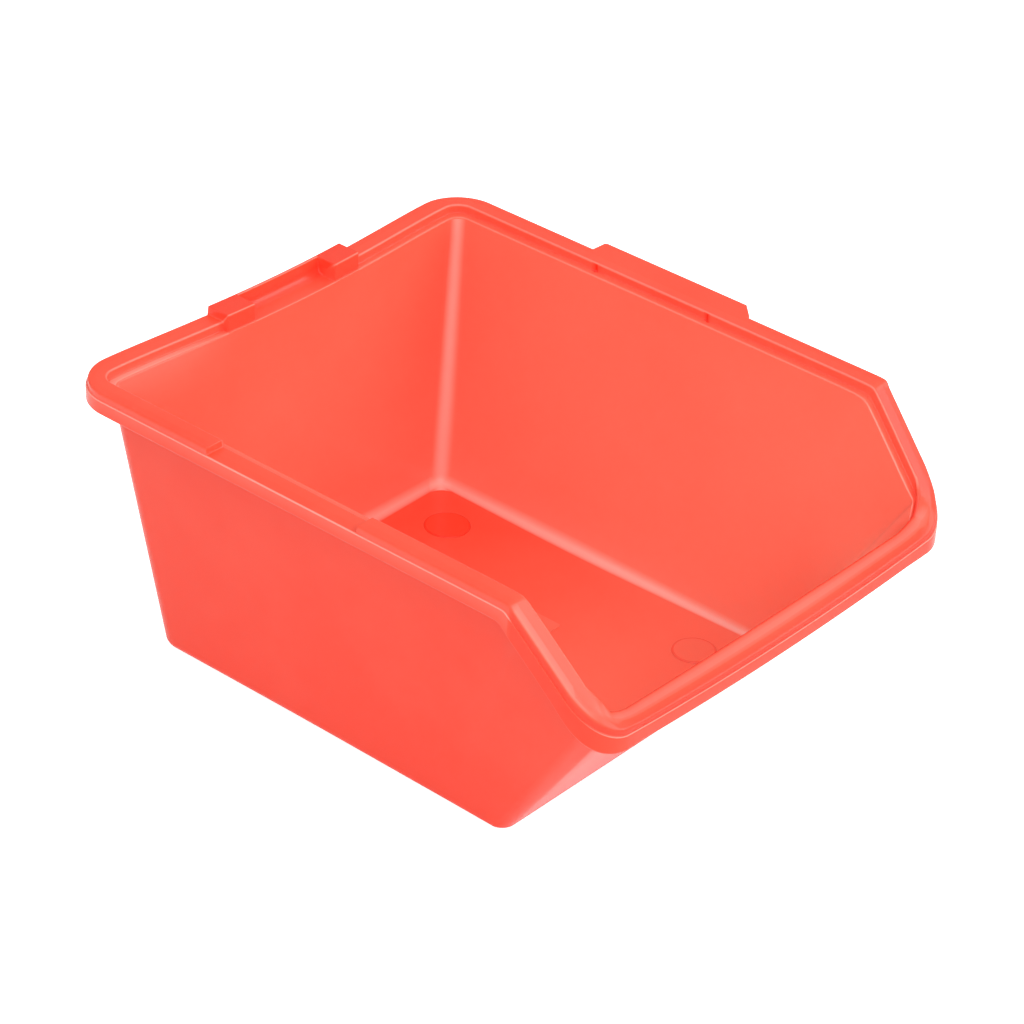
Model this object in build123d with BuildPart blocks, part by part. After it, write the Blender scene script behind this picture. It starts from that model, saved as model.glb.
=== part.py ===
"""Open-front stackable storage bin, one thin-walled plastic moulding.

Millimetres, +Z up, the low open front towards -Y. The origin is on the underside of the floor,
below the middle of the rim. The moulding is written as its named regions: floor, four walls, four
corners, the stepped rim with its hanging skirt, the side tab, the back clip and the floor pads.
Neighbouring regions meet face to face.
"""
from build123d import *
import os
from math import atan, cos, hypot, radians, sin, tan

# Overall size
WIDTH = 140.0            # across the rim, skirt to skirt
DEPTH = 166.0            # from the front lip to the back of the rim
HEIGHT = 78.0            # to the top of the rim
FRONT_HEIGHT = 51.0      # to the top of the front lip
SLOPE_START = -57.5      # Y where the side rims turn down towards the front
BACK_RADIUS = 12.5       # rim corners, seen from above
FRONT_RADIUS = 10.0

# Tub
WALL = 1.5
FLOOR = 1.8
BASE_WIDTH = 105.0
BASE_BACK = 70.0         # Y of the foot of the back wall
BASE_FRONT = -44.7       # Y of the foot of the front wall
FOOT_ROUNDING = 1.2

# Rim section, measured inwards from the skirt and down from the land
STEP_OUT = 0.5           # the skirt stands this far outside the upper tier
STEP_DOWN = 1.9
SKIRT_DEPTH = 5.6
LAND_END = 6.0           # inner edge of the flat top
LEDGE_DOWN = 2.5
LEDGE_END = 8.0          # inner face of the wall
RIM_UNDER = LEDGE_DOWN + WALL
WALL_OUT = LEDGE_END - WALL

# Side interlock: a tab on the right rim fits the notch in the left rim of the next bin
LOCK_Y = 11.8
NOTCH_LENGTH = 47.5      # the notch goes down to the top of the skirt
TAB_REACH = 4.2
TAB_THICK = 1.9
TAB_BACK = 35.2
TAB_FRONT = -14.8
TAB_ROUNDING = 1.5
RECESS_LENGTH = 36.0     # shallow relief in the inner step beside the tab
RECESS_DEPTH = 0.7

# Back clip: two lugs and a thin lip around a pocket in the back rim
CLIP_X = -1.0
CLIP_LENGTH = 46.5
CLIP_RISE = 2.3          # above the rim's flat top
LUG_LENGTH = 9.0
LUG_OVERHANG = 1.6       # how far a lug stands over the ledge
LUG_ROUNDING = 0.8
LIP_TOP = 1.0            # thickness at its top edge
LIP_FOOT = 2.5           # and where it meets the pocket's floor

# Floor details
PAD_RADIUS = 6.2
PAD_X = 36.2
PAD_YS = (-30.7, 52.4)
PAD_RISE = 0.4
PLATE_SIZE = (43.0, 21.0)
PLATE_CORNER = 1.0

# Worked out from the sizes above
HALF_W, HALF_D = WIDTH / 2, DEPTH / 2
SLOPE = (HEIGHT - FRONT_HEIGHT) / (SLOPE_START + HALF_D)
SLOPE_ANGLE = atan(SLOPE)
CREASE_SHIFT = tan(SLOPE_ANGLE / 2)   # how far the crease moves back for each mm below the land
WALL_TOP = HEIGHT - RIM_UNDER
FRONT_TOP = FRONT_HEIGHT - RIM_UNDER
SIDE_DRAFT = (HALF_W - WALL_OUT - BASE_WIDTH / 2) / WALL_TOP
BACK_DRAFT = (HALF_D - WALL_OUT - BASE_BACK) / WALL_TOP
FRONT_DRAFT = (HALF_D - WALL_OUT + BASE_FRONT) / FRONT_TOP
WALL_BACK_RADIUS = BACK_RADIUS - WALL_OUT
WALL_FRONT_RADIUS = FRONT_RADIUS - WALL_OUT
OVERLAP = 0.4            # how far the front corners' rim reaches down into their posts
BACK_AXIS_Y = HALF_D - BACK_RADIUS
BACK_AXIS_X = HALF_W - BACK_RADIUS
FRONT_AXIS_Y = -HALF_D + FRONT_RADIUS
RIM_SECTION = [
    (0, -SKIRT_DEPTH), (0, -STEP_DOWN), (STEP_OUT, -STEP_DOWN), (STEP_OUT, 0),
    (LAND_END, 0), (LAND_END, -LEDGE_DOWN), (LEDGE_END, -LEDGE_DOWN), (LEDGE_END, -RIM_UNDER),
    (LAND_END - WALL, -RIM_UNDER), (LAND_END - WALL, -WALL), (WALL, -WALL), (WALL, -SKIRT_DEPTH),
]


def land_height(y):
    """Height of the rim's flat top: level, then down the slope to the front lip."""
    return HEIGHT - SLOPE * max(0.0, SLOPE_START - y)


def rim_half_width(z):
    """Half width across the skirts; on the slope the rim follows the drafted side walls in."""
    return HALF_W - SIDE_DRAFT * (HEIGHT - z)


FRONT_AXIS_X = rim_half_width(FRONT_HEIGHT) - FRONT_RADIUS


def filled(plane, points):
    """Sketch on a plane: the closed straight-sided outline through the points, filled."""
    with BuildSketch(plane) as outline:
        with BuildLine():
            Polyline(*points, close=True)
        make_face()
    return outline.sketch


def tub_outline(z, inset):
    """Sketch at height z: the rounded outline of the tub, moved in by inset."""
    side = BASE_WIDTH / 2 + SIDE_DRAFT * z - inset
    back = BASE_BACK + BACK_DRAFT * z - inset
    front = BASE_FRONT - FRONT_DRAFT * z + inset
    front_radius, back_radius = WALL_FRONT_RADIUS - inset, WALL_BACK_RADIUS - inset
    with BuildSketch(Plane.XY.offset(z)) as outline:
        with BuildLine():
            Polyline((side, front), (side, back), (-side, back), (-side, front), close=True)
        make_face()
        corners = outline.vertices().sort_by(Axis.Y)
        fillet(corners[:2], radius=front_radius)
        fillet(outline.vertices().sort_by(Axis.Y)[-2:], radius=back_radius)
    return outline.sketch


def tub_solid(inset, floor_z):
    """Drafted tub filled solid, its faces moved in by inset, standing on floor_z."""
    with BuildPart() as tub:
        loft([tub_outline(z, inset) for z in (floor_z, HEIGHT)], ruled=True)
    return tub.part


def slab(low, high):
    """Plain box between two corners, used to bound a region."""
    size = [b - a for a, b in zip(low, high)]
    middle = [(a + b) / 2 for a, b in zip(low, high)]
    return Pos(*middle) * Box(*size)


def side_zone(side):
    """Prism along X that holds one side wall, between the corner tangent lines, under the rim."""
    drop = RIM_UNDER / cos(SLOPE_ANGLE)
    crease = RIM_UNDER * CREASE_SHIFT
    axis_run = (BACK_AXIS_Y - (BASE_BACK - WALL_BACK_RADIUS)) / WALL_TOP
    nose_run = (FRONT_AXIS_Y - (BASE_FRONT + WALL_FRONT_RADIUS)) / FRONT_TOP
    outline = [
        (BACK_AXIS_Y + axis_run * (FLOOR - WALL_TOP), FLOOR),
        (BACK_AXIS_Y, WALL_TOP),
        (SLOPE_START + crease, WALL_TOP),
        (FRONT_AXIS_Y, land_height(FRONT_AXIS_Y) - drop),
        (FRONT_AXIS_Y, FRONT_TOP),
        (FRONT_AXIS_Y + nose_run * (FLOOR - FRONT_TOP), FLOOR),
    ]
    with BuildPart() as zone:
        extrude(filled(Plane.YZ, outline), amount=side * WIDTH)
    return zone.part


def end_zone(end):
    """Prism along Y that holds the back wall (end 1) or the front wall (end -1)."""
    top, axis_x = (WALL_TOP, BACK_AXIS_X) if end > 0 else (FRONT_TOP, FRONT_AXIS_X)
    radius = WALL_BACK_RADIUS if end > 0 else WALL_FRONT_RADIUS
    foot_x = BASE_WIDTH / 2 - radius + (axis_x - BASE_WIDTH / 2 + radius) * FLOOR / top
    outline = [(-foot_x, FLOOR), (-axis_x, top), (axis_x, top), (foot_x, FLOOR)]
    with BuildPart() as zone:
        extrude(filled(Plane.XZ, outline), amount=-end * DEPTH)
    return zone.part


def front_section(side, turn):
    """Section at a turn in degrees about the corner: 0 at the end of the slope, 90 at the lip."""
    angle = radians(turn)
    out_x, out_y = side * cos(angle), -sin(angle)
    height = land_height(FRONT_AXIS_Y - FRONT_RADIUS * sin(angle))
    lean = cos(atan(SLOPE * cos(angle)))
    centre_x = rim_half_width(height) - FRONT_RADIUS
    foot = WALL_FRONT_RADIUS - (centre_x - FRONT_AXIS_X) * cos(angle)
    plane = Plane(origin=(side * centre_x, FRONT_AXIS_Y, 0), x_dir=(out_x, out_y, 0),
                  z_dir=(out_y, -out_x, 0))
    rim = [(FRONT_RADIUS - a, height + b / lean) for a, b in RIM_SECTION]
    leg = [(foot - WALL, FRONT_TOP - OVERLAP), (foot, FRONT_TOP - OVERLAP),
           (FRONT_RADIUS - WALL_OUT, height - RIM_UNDER / lean)]
    points = rim[:7] + leg + rim[8:]
    return filled(plane, points)


def mitre_section(side):
    """Rim section on the plane that halves the bend at the top of the slope."""
    plane = Plane(origin=(0, SLOPE_START, HEIGHT), x_dir=(side, 0, 0),
                  z_dir=(0, -side, -side * CREASE_SHIFT))
    stretch = hypot(1, CREASE_SHIFT)
    return filled(plane, [(HALF_W - a, b * stretch) for a, b in RIM_SECTION])


def slope_end_section(side):
    """Rim section on the upright plane where the slope meets the front corner."""
    height = land_height(FRONT_AXIS_Y)
    half = rim_half_width(height)
    plane = Plane(origin=(0, FRONT_AXIS_Y, height), x_dir=(side, 0, 0), z_dir=(0, -side, 0))
    return filled(plane, [(half - a, b / cos(SLOPE_ANGLE)) for a, b in RIM_SECTION])


def side_section(side):
    """Rim section where a side rim meets its back corner."""
    plane = Plane(origin=(0, BACK_AXIS_Y, HEIGHT), x_dir=(side, 0, 0), z_dir=(0, -side, 0))
    return filled(plane, [(HALF_W - a, b) for a, b in RIM_SECTION])


def lug_span(hand):
    """Left and right X of a back lug."""
    outer = CLIP_X + hand * CLIP_LENGTH / 2
    return sorted((outer, outer - hand * LUG_LENGTH))


def finish(builder, name):
    """Label one region and write its file."""
    builder.part.label = name
    export_step(builder.part, f"parts/{name}.step")


os.makedirs("parts", exist_ok=True)
outer_tub = tub_solid(0, 0)
inner_tub = tub_solid(WALL, FLOOR)
shell = outer_tub - inner_tub

# Floor: the full footprint, with the outer foot edge rounded
floor_block = outer_tub & slab((-WIDTH, -DEPTH, 0), (WIDTH, DEPTH, FLOOR))
with BuildPart() as floor_panel:
    add(floor_block)
    fillet(floor_panel.edges().group_by(Axis.Z)[0], radius=FOOT_ROUNDING)
finish(floor_panel, "floor_panel")

# Flat walls, each cut from the tub between the corner tangent lines
for side, word in ((-1, "left"), (1, "right")):
    panel = shell & side_zone(side)
    with BuildPart() as side_wall:
        add(panel)
    finish(side_wall, f"{word}_wall")
for end, word in ((1, "back"), (-1, "front")):
    panel = shell & end_zone(end)
    with BuildPart() as end_wall:
        add(panel)
    finish(end_wall, f"{word}_wall")

# Back corners: a rounded post with the rim carried round above it
for side, word in ((-1, "left"), (1, "right")):
    post_zone = slab((0, 0, FLOOR), (WIDTH, DEPTH, WALL_TOP))
    post = shell & (post_zone if side > 0 else mirror(post_zone, about=Plane.YZ))
    post = post - side_zone(side) - end_zone(1)
    with BuildPart() as back_corner:
        add(post)
        section = [(side * (HALF_W - a), HEIGHT + b) for a, b in RIM_SECTION]
        corner_axis = Axis((side * BACK_AXIS_X, BACK_AXIS_Y, 0), (0, 0, side))
        revolve(filled(Plane.XZ.offset(-BACK_AXIS_Y), section), axis=corner_axis, revolution_arc=90)
    finish(back_corner, f"back_{word}_corner")

# Front corners: the same, with the rim turning as it comes off the slope
for side, word in ((-1, "left"), (1, "right")):
    post_zone = slab((0, -DEPTH, FLOOR), (WIDTH, 0, FRONT_TOP))
    post = shell & (post_zone if side > 0 else mirror(post_zone, about=Plane.YZ))
    post = post - side_zone(side) - end_zone(-1)
    with BuildPart() as front_corner:
        loft([front_section(side, turn) for turn in (0, 22.5, 45, 67.5, 90)])
        add(post)
    finish(front_corner, f"front_{word}_corner")

# Straight rims along the back, the sides, the slopes and the front lip
with BuildPart() as back_rim:
    section = [(HALF_D - a, HEIGHT + b) for a, b in RIM_SECTION]
    extrude(filled(Plane.YZ.offset(-BACK_AXIS_X), section), amount=2 * BACK_AXIS_X)
    pocket_ends = lug_span(-1)[1], lug_span(1)[0]
    pocket_middle, pocket_length = sum(pocket_ends) / 2, pocket_ends[1] - pocket_ends[0]
    for top, depth, end, mode in ((HEIGHT, LEDGE_DOWN, LAND_END, Mode.SUBTRACT),
                                  (HEIGHT - LEDGE_DOWN, WALL, LAND_END - WALL, Mode.ADD)):
        with BuildSketch(Plane.XY.offset(top)):
            with Locations((pocket_middle, HALF_D - WALL)):
                Rectangle(pocket_length, end - WALL, align=(Align.CENTER, Align.MAX))
        extrude(amount=-depth, mode=mode)
finish(back_rim, "back_rim")

with BuildPart() as front_rim:
    section = [(-HALF_D + a, FRONT_HEIGHT + b) for a, b in RIM_SECTION]
    extrude(filled(Plane.YZ.offset(-FRONT_AXIS_X), section), amount=2 * FRONT_AXIS_X)
finish(front_rim, "front_rim")

for side, word in ((-1, "left"), (1, "right")):
    with BuildPart() as slope_rim:
        loft([mitre_section(side), slope_end_section(side)], ruled=True)
    finish(slope_rim, f"{word}_slope_rim")

with BuildPart() as left_rim:
    loft([side_section(-1), mitre_section(-1)], ruled=True)
    for top, depth, start, end, mode in (
            (HEIGHT, STEP_DOWN, 0, LAND_END, Mode.SUBTRACT),
            (HEIGHT - STEP_DOWN, WALL, WALL, LAND_END - WALL, Mode.ADD)):
        with BuildSketch(Plane.XY.offset(top)):
            with Locations((start - HALF_W, LOCK_Y)):
                Rectangle(end - start, NOTCH_LENGTH, align=(Align.MIN, Align.CENTER))
        extrude(amount=-depth, mode=mode)
finish(left_rim, "left_rim")

with BuildPart() as right_rim:
    loft([side_section(1), mitre_section(1)], ruled=True)
    with BuildSketch(Plane.XY.offset(HEIGHT)):
        with Locations((HALF_W - LAND_END, LOCK_Y)):
            Rectangle(RECESS_DEPTH, RECESS_LENGTH, align=(Align.MIN, Align.CENTER))
    extrude(amount=-LEDGE_DOWN, mode=Mode.SUBTRACT)
finish(right_rim, "right_rim")

# Side tab: a flat tongue level with the right rim, its front end cut back at an angle
with BuildPart() as side_tab:
    inner, outer = HALF_W - STEP_OUT, HALF_W + TAB_REACH
    outline = [(inner, TAB_FRONT), (HALF_W, TAB_FRONT), (outer, TAB_FRONT + TAB_REACH),
               (outer, TAB_BACK), (inner, TAB_BACK)]
    extrude(filled(Plane.XY.offset(HEIGHT), outline), amount=-TAB_THICK)
    fillet(side_tab.edges().filter_by(Axis.Z).group_by(Axis.X)[-1].sort_by(Axis.Y)[-1],
           radius=TAB_ROUNDING)
finish(side_tab, "side_tab")

# Back clip: a lug at each end and a thin lip between them along the outer edge
for hand, word in ((-1, "left"), (1, "right")):
    low, high = lug_span(hand)
    with BuildPart() as lug:
        for z, start, end in ((HEIGHT, STEP_OUT, LAND_END),
                              (HEIGHT - LEDGE_DOWN, LAND_END, LAND_END + LUG_OVERHANG)):
            with BuildSketch(Plane.XY.offset(z)):
                with Locations(((low + high) / 2, HALF_D - start)):
                    Rectangle(high - low, end - start, align=(Align.CENTER, Align.MAX))
            extrude(amount=HEIGHT + CLIP_RISE - z)
        fillet(lug.edges().filter_by(Axis.Y).group_by(Axis.Z)[-1], radius=LUG_ROUNDING)
    finish(lug, f"back_{word}_lug")

with BuildPart() as back_lip:
    section = [(STEP_OUT, 0), (STEP_OUT, CLIP_RISE), (STEP_OUT + LIP_TOP, CLIP_RISE),
               (STEP_OUT + LIP_FOOT, -LEDGE_DOWN), (WALL, -LEDGE_DOWN), (WALL, 0)]
    outline = [(HALF_D - a, HEIGHT + b) for a, b in section]
    extrude(filled(Plane.YZ.offset(pocket_ends[0]), outline), amount=pocket_length)
finish(back_lip, "back_lip")

# Floor details: four round pads near the corners and a plain plate in the middle
for x, side_word in ((-PAD_X, "left"), (PAD_X, "right")):
    for y, end_word in zip(PAD_YS, ("front", "back")):
        with BuildPart() as pad:
            with BuildSketch(Plane.XY.offset(FLOOR)):
                with Locations((x, y)):
                    Circle(PAD_RADIUS)
            extrude(amount=PAD_RISE)
        finish(pad, f"{end_word}_{side_word}_floor_pad")

with BuildPart() as floor_plate:
    with BuildSketch(Plane.XY.offset(FLOOR)):
        with Locations((0, sum(PAD_YS) / 2)):
            RectangleRounded(*PLATE_SIZE, radius=PLATE_CORNER)
    extrude(amount=PAD_RISE)
finish(floor_plate, "floor_plate")
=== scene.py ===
"""Looks of the open-front storage bin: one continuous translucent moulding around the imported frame.

Lengths are millimetres until a mesh is made. +Z is up and the low open front faces -Y.
"""
import math
import bpy
import numpy as np
from mathutils import Matrix, Vector


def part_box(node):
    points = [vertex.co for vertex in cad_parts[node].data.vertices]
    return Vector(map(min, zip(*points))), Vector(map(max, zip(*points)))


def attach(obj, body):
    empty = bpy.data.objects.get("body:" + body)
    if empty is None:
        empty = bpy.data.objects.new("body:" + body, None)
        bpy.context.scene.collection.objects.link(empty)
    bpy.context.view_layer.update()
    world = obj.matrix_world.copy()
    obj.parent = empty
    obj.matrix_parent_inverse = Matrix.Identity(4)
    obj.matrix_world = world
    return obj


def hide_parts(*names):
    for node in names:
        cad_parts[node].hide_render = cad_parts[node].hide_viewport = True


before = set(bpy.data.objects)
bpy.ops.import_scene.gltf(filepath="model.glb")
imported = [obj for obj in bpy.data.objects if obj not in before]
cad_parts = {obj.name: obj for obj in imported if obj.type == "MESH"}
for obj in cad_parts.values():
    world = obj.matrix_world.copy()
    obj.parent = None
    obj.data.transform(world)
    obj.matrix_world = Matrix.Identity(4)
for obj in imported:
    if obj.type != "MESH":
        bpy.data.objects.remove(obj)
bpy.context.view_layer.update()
MM = 1000.0                          # millimetres in a metre


def node_box(name):
    """Lowest and highest corner of a CAD node, in millimetres."""
    low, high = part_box(name)
    return np.array(low) * MM, np.array(high) * MM


# ---------------------------------------------------------------- sizes read from the frame
SIDE_RIM = node_box("right_rim")
BACK_RIM = node_box("back_rim")
FRONT_RIM = node_box("front_rim")
SLOPE_RIM = node_box("right_slope_rim")
FLOOR_PANEL = node_box("floor_panel")
SIDE_TAB = node_box("side_tab")
LEFT_LUG, RIGHT_LUG = node_box("back_left_lug"), node_box("back_right_lug")

HALF_WIDTH = SIDE_RIM[1][0]
BACK_Y, FRONT_Y = BACK_RIM[1][1], FRONT_RIM[0][1]
HEIGHT, FRONT_HEIGHT = SIDE_RIM[1][2], FRONT_RIM[1][2]
# The axes about which the rim turns at its corners, and the skirt's radius about them
BACK_AXIS_X = BACK_RIM[1][0]
FRONT_AXIS_X = FRONT_RIM[1][0]
BACK_RADIUS = HALF_WIDTH - BACK_AXIS_X
BACK_AXIS_Y = BACK_Y - BACK_RADIUS
FRONT_AXIS_Y = SLOPE_RIM[0][1]
FRONT_RADIUS = FRONT_AXIS_Y - FRONT_Y
SKIRT_DEPTH = HEIGHT - SIDE_RIM[0][2]
FLOOR = FLOOR_PANEL[1][2]
CLIP_RISE = LEFT_LUG[1][2] - HEIGHT
LUG_END = BACK_Y - LEFT_LUG[0][1]
TAB_REACH = SIDE_TAB[1][0] - HALF_WIDTH
TAB_FRONT, TAB_BACK = SIDE_TAB[0][1], SIDE_TAB[1][1]

# ---------------------------------------------------------------- sizes of the moulding
SLOPE_START = -57.5                  # Y where the rim bends from level to slope
BASE_HALF, BASE_BACK, BASE_FRONT = 52.5, 70.0, -44.7
FOOT_BACK_RADIUS, FOOT_FRONT_RADIUS = 6.0, 3.5
FLOOR_FILLET, FOOT_FILLET = 3.2, 2.0
WALL = 1.5
# The rim: distances inwards from the skirt's face and down from the land, which is the rim's flat top
STEP_OUT, STEP_DOWN = 0.5, 1.9       # the land's outer edge, and the skirt's top below it
LAND_END, LEDGE_DOWN, LEDGE_END = 6.0, 2.5, 8.0
WALL_OUT, RIM_UNDER = 6.5, 4.0       # head of the outer wall
LOCK_MIDDLE = 11.8                   # Y of the middle of the notch, and of the recess beside the tab
NOTCH = (LOCK_MIDDLE - 23.75, LOCK_MIDDLE + 23.75)
RECESS = (LOCK_MIDDLE - 18.0, LOCK_MIDDLE + 18.0)
NOTCH_CLEARANCE, NOTCH_ROOF = 0.06, 0.6
RECESS_DEPTH = 0.3
TAB_ROUNDING, TAB_EDGE = 0.9, 0.35   # radius of the tab's back corner, and of its upper and lower edges
LIP_TOP, COVE_FOOT, COVE_RADIUS = 1.0, 1.2, 5.5     # between the lugs: a lip with a cove inside it
COVE_LEDGE, COVE_ROOF = 0.5, 0.1
FEATURE_EDGE = 0.3                   # length of the smooth step at each end of a feature
FRONT_SWELL, SLOPE_SWELL = 0.7, 0.3  # how far the land's outer edge droops along the front and the slope
CORNER_DEPTH = 0.8                   # the skirt hangs that much lower round the front corners
BACK_BOW, LIP_SAG = 2.9, 2.1         # moulding warp: back rim drawn inwards, front lip hanging
SLOPE = (HEIGHT - FRONT_HEIGHT) / (SLOPE_START - FRONT_Y)
SLOPE_LEAN = math.cos(math.atan(SLOPE))
SIDE_DRAFT = (HALF_WIDTH - WALL_OUT - BASE_HALF) / (HEIGHT - RIM_UNDER)

# Corners of the moulding's section, from the floor's middle over the rim to the underside's middle
(FLOOR_MID, FLOOR_EDGE, LEDGE_EDGE, STEP_FOOT, LAND_EDGE, LAND_MID, SHOULDER, TIER_FOOT, SKIRT_TOP,
 SKIRT_FOOT, SKIRT_BACK, SKIRT_ROOF, WEB_ROOF, WEB_FOOT, WALL_HEAD, FOOT, UNDER_MID) = range(17)
CORNERS = UNDER_MID + 1
# corner: (inwards from the skirt, up from the land, rounding, arc steps, straight rows after it)
RIM_CORNERS = {
    LEDGE_EDGE: (LEDGE_END, -LEDGE_DOWN, 0.45, 5, 2),
    STEP_FOOT: (LAND_END, -LEDGE_DOWN, 0.35, 4, 2),
    LAND_EDGE: (LAND_END, 0.0, 0.55, 6, 3),
    LAND_MID: (2.9, 0.0, 3.0, 7, 2),
    SHOULDER: (STEP_OUT, 0.0, 0.6, 7, 2),
    TIER_FOOT: (STEP_OUT, -STEP_DOWN, 0.18, 3, 2),
    SKIRT_TOP: (0.0, -STEP_DOWN, 0.3, 4, 3),
    SKIRT_FOOT: (0.0, -SKIRT_DEPTH, 0.45, 5, 2),
    SKIRT_BACK: (1.25, -SKIRT_DEPTH, 0.45, 5, 3),
    SKIRT_ROOF: (WALL, -WALL, 0.5, 4, 2),
    WEB_ROOF: (LAND_END - WALL, -WALL, 0.5, 4, 2),
    WEB_FOOT: (LAND_END - WALL, -RIM_UNDER, 0.5, 4, 2),
    WALL_HEAD: (WALL_OUT, -RIM_UNDER, 0.9, 5, 14),
}
FLOOR_ARC_STEPS, FOOT_ARC_STEPS = 9, 7
FLOOR_ROWS, INNER_WALL_ROWS, UNDER_ROWS = 5, 14, 5
# Radius with which a corner of the section turns round the bin's corners, where it is not concentric
BACK_TURNS = {LEDGE_EDGE: 3.2, STEP_FOOT: 4.2, LAND_EDGE: 4.6, LAND_MID: 8.7, WALL_HEAD: 5.6}
FRONT_TURNS = {LEDGE_EDGE: 1.4, STEP_FOOT: 3.0, LAND_EDGE: 3.6, LAND_MID: 5.8, WALL_HEAD: 3.0}
# How much further out a corner lies along the low front, whose ledge is hidden below the land
FRONT_OUTWARDS = {LEDGE_EDGE: 1.4, LAND_MID: 0.3, WEB_ROOF: 1.0, WEB_FOOT: 1.0, WALL_HEAD: 2.2}
# Softness of the bend from level to slope: the inner corners of the section bend more gently
BEND_SOFTNESS = {LEDGE_EDGE: 1.7, STEP_FOOT: 1.4, LAND_EDGE: 1.1}
LEAST_SOFTNESS = 0.7
SUPPORT = 0.22                       # straight rows start this far from a rounding
LEAST_TANGENT, MOST_TANGENT = 0.04, 0.47     # a rounding's reach: a length, and a share of the side
STATION_SPACING, CORNER_STEPS = 2.4, 15
TILT_START, TILT_SPAN = 28.0, 95.0   # degrees of turn over which the land loses the slope's tilt

# The stretches of the way round the bin
BACK, LEFT, FRONT, RIGHT, BACK_CORNER, FRONT_CORNER = range(6)


# ---------------------------------------------------------------- shape helpers
def smooth(t):
    """Smoothstep: 3t^2 - 2t^3 with t held between 0 and 1."""
    t = np.clip(t, 0.0, 1.0)
    return t * t * (3 - 2 * t)


def plateau(x, start, end):
    """1 between start and end, 0 outside, with a short smooth step centred on each end."""
    return smooth((x - start) / FEATURE_EDGE + 0.5) * smooth((end - x) / FEATURE_EDGE + 0.5)


def soft_least(a, b, softness):
    """The lesser of a and b, with the crease between them rounded: (a + b - sqrt((a-b)^2 + s^2)) / 2."""
    return (a + b - np.sqrt((a - b) ** 2 + softness ** 2)) / 2


def stations(start, end, marks=()):
    """Places along a run: evenly spaced, with seven close together around each mark."""
    even = np.linspace(start, end, max(2, int(abs(end - start) / STATION_SPACING) + 1))
    low, high = min(start, end), max(start, end)
    cluster = np.array([-0.9, -0.5, -0.25, 0.0, 0.25, 0.5, 0.9]) * FEATURE_EDGE
    close = np.array([mark + step for mark in marks for step in cluster])
    near = (np.abs(even[:, None] - close[None, :]) < FEATURE_EDGE * 0.8).any(axis=1)
    near[[0, -1]] = False
    places = np.unique(np.concatenate([even[~near], close]))
    places = places[(places >= low) & (places <= high)]
    return places if end > start else places[::-1]


def rounded_section(corners, radii, arc_steps, straight_rows):
    """Rows of points along a section whose corners are rounded, for every station at once.

    A corner C of radius r leaves its two sides at the distance r / tan(h), h being half the angle
    between them. The rounding between those two points A and B is the rational quadratic curve
    ((1-s)^2 A + 2 sin(h) s(1-s) C + s^2 B) / ((1-s)^2 + 2 sin(h) s(1-s) + s^2), an exact arc.
    Returns the rows (rows, stations, 3) and for each row the corner it rounds and its share s.
    """
    before = corners[:-2] - corners[1:-1]
    after = corners[2:] - corners[1:-1]
    len_before, len_after = np.linalg.norm(before, axis=-1), np.linalg.norm(after, axis=-1)
    to_before, to_after = before / len_before[..., None], after / len_after[..., None]
    half = np.arccos(np.clip((to_before * to_after).sum(-1), -1, 1)) / 2
    tangent = np.maximum(radii[1:-1] / np.tan(half), LEAST_TANGENT)
    tangent = np.minimum(tangent, MOST_TANGENT * np.minimum(len_before, len_after))
    starts = corners[1:-1] + to_before * tangent[..., None]
    ends = corners[1:-1] + to_after * tangent[..., None]
    rows, roles = [], []
    leave = corners[0]
    for k in range(len(corners) - 1):
        arrive = starts[k] if k < len(starts) else corners[-1]
        span = np.linalg.norm(arrive - leave, axis=-1)
        margin = np.minimum(SUPPORT / np.maximum(span, 1e-9), 0.3)[..., None]
        for t in np.linspace(0, 1, straight_rows[k]):
            share = margin + (1 - 2 * margin) * t
            rows.append(leave + (arrive - leave) * share)
            roles.append((-1, t))
        if k == len(starts):
            break
        weight = np.sin(half[k])[..., None]
        for s in np.linspace(0, 1, arc_steps[k]):
            bulge = 2 * weight * s * (1 - s)
            total = (1 - s) ** 2 + bulge + s ** 2
            rows.append(((1 - s) ** 2 * starts[k] + bulge * corners[k + 1] + s ** 2 * ends[k]) / total)
            roles.append((k + 1, s))
        leave = ends[k]
    return np.array(rows), roles


# ---------------------------------------------------------------- the way round the bin
def slope_height(y):
    """Height of the slope's plane, which meets the level land at SLOPE_START."""
    return HEIGHT - SLOPE * (SLOPE_START - y)


def land_height(y):
    """Height of the rim's flat top: level, then straight down the slope."""
    return np.minimum(HEIGHT, slope_height(y))


def rim_half_width(z):
    """Half width across the skirts: on the slope the rim follows the drafted side walls in."""
    return HALF_WIDTH - SIDE_DRAFT * (HEIGHT - z)


def corner_tilt(turn):
    """How much the land keeps the slope's tilt at a turn in degrees about a front corner."""
    return 1 - smooth((turn - TILT_START) / TILT_SPAN)


def run(count, **values):
    """One stretch of stations: every value as an array of that many entries.

    x, y lie on the skirt's face and out_x, out_y point outwards from it. land is the height of the
    land, lean the cosine of its slope along the way, along 1 on the straight sides, and tilt the share
    of the slope's tilt that the land keeps. side_x and end_y are the skirt's faces beside a corner.
    foot_x, foot_y lie on the outline of the base, and part names the stretch.
    """
    return {name: np.broadcast_to(np.asarray(v, float), (count,)).copy() for name, v in values.items()}


def walked_back(stretch):
    """The same stretch in the other direction."""
    return {name: values[::-1] for name, values in stretch.items()}


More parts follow.
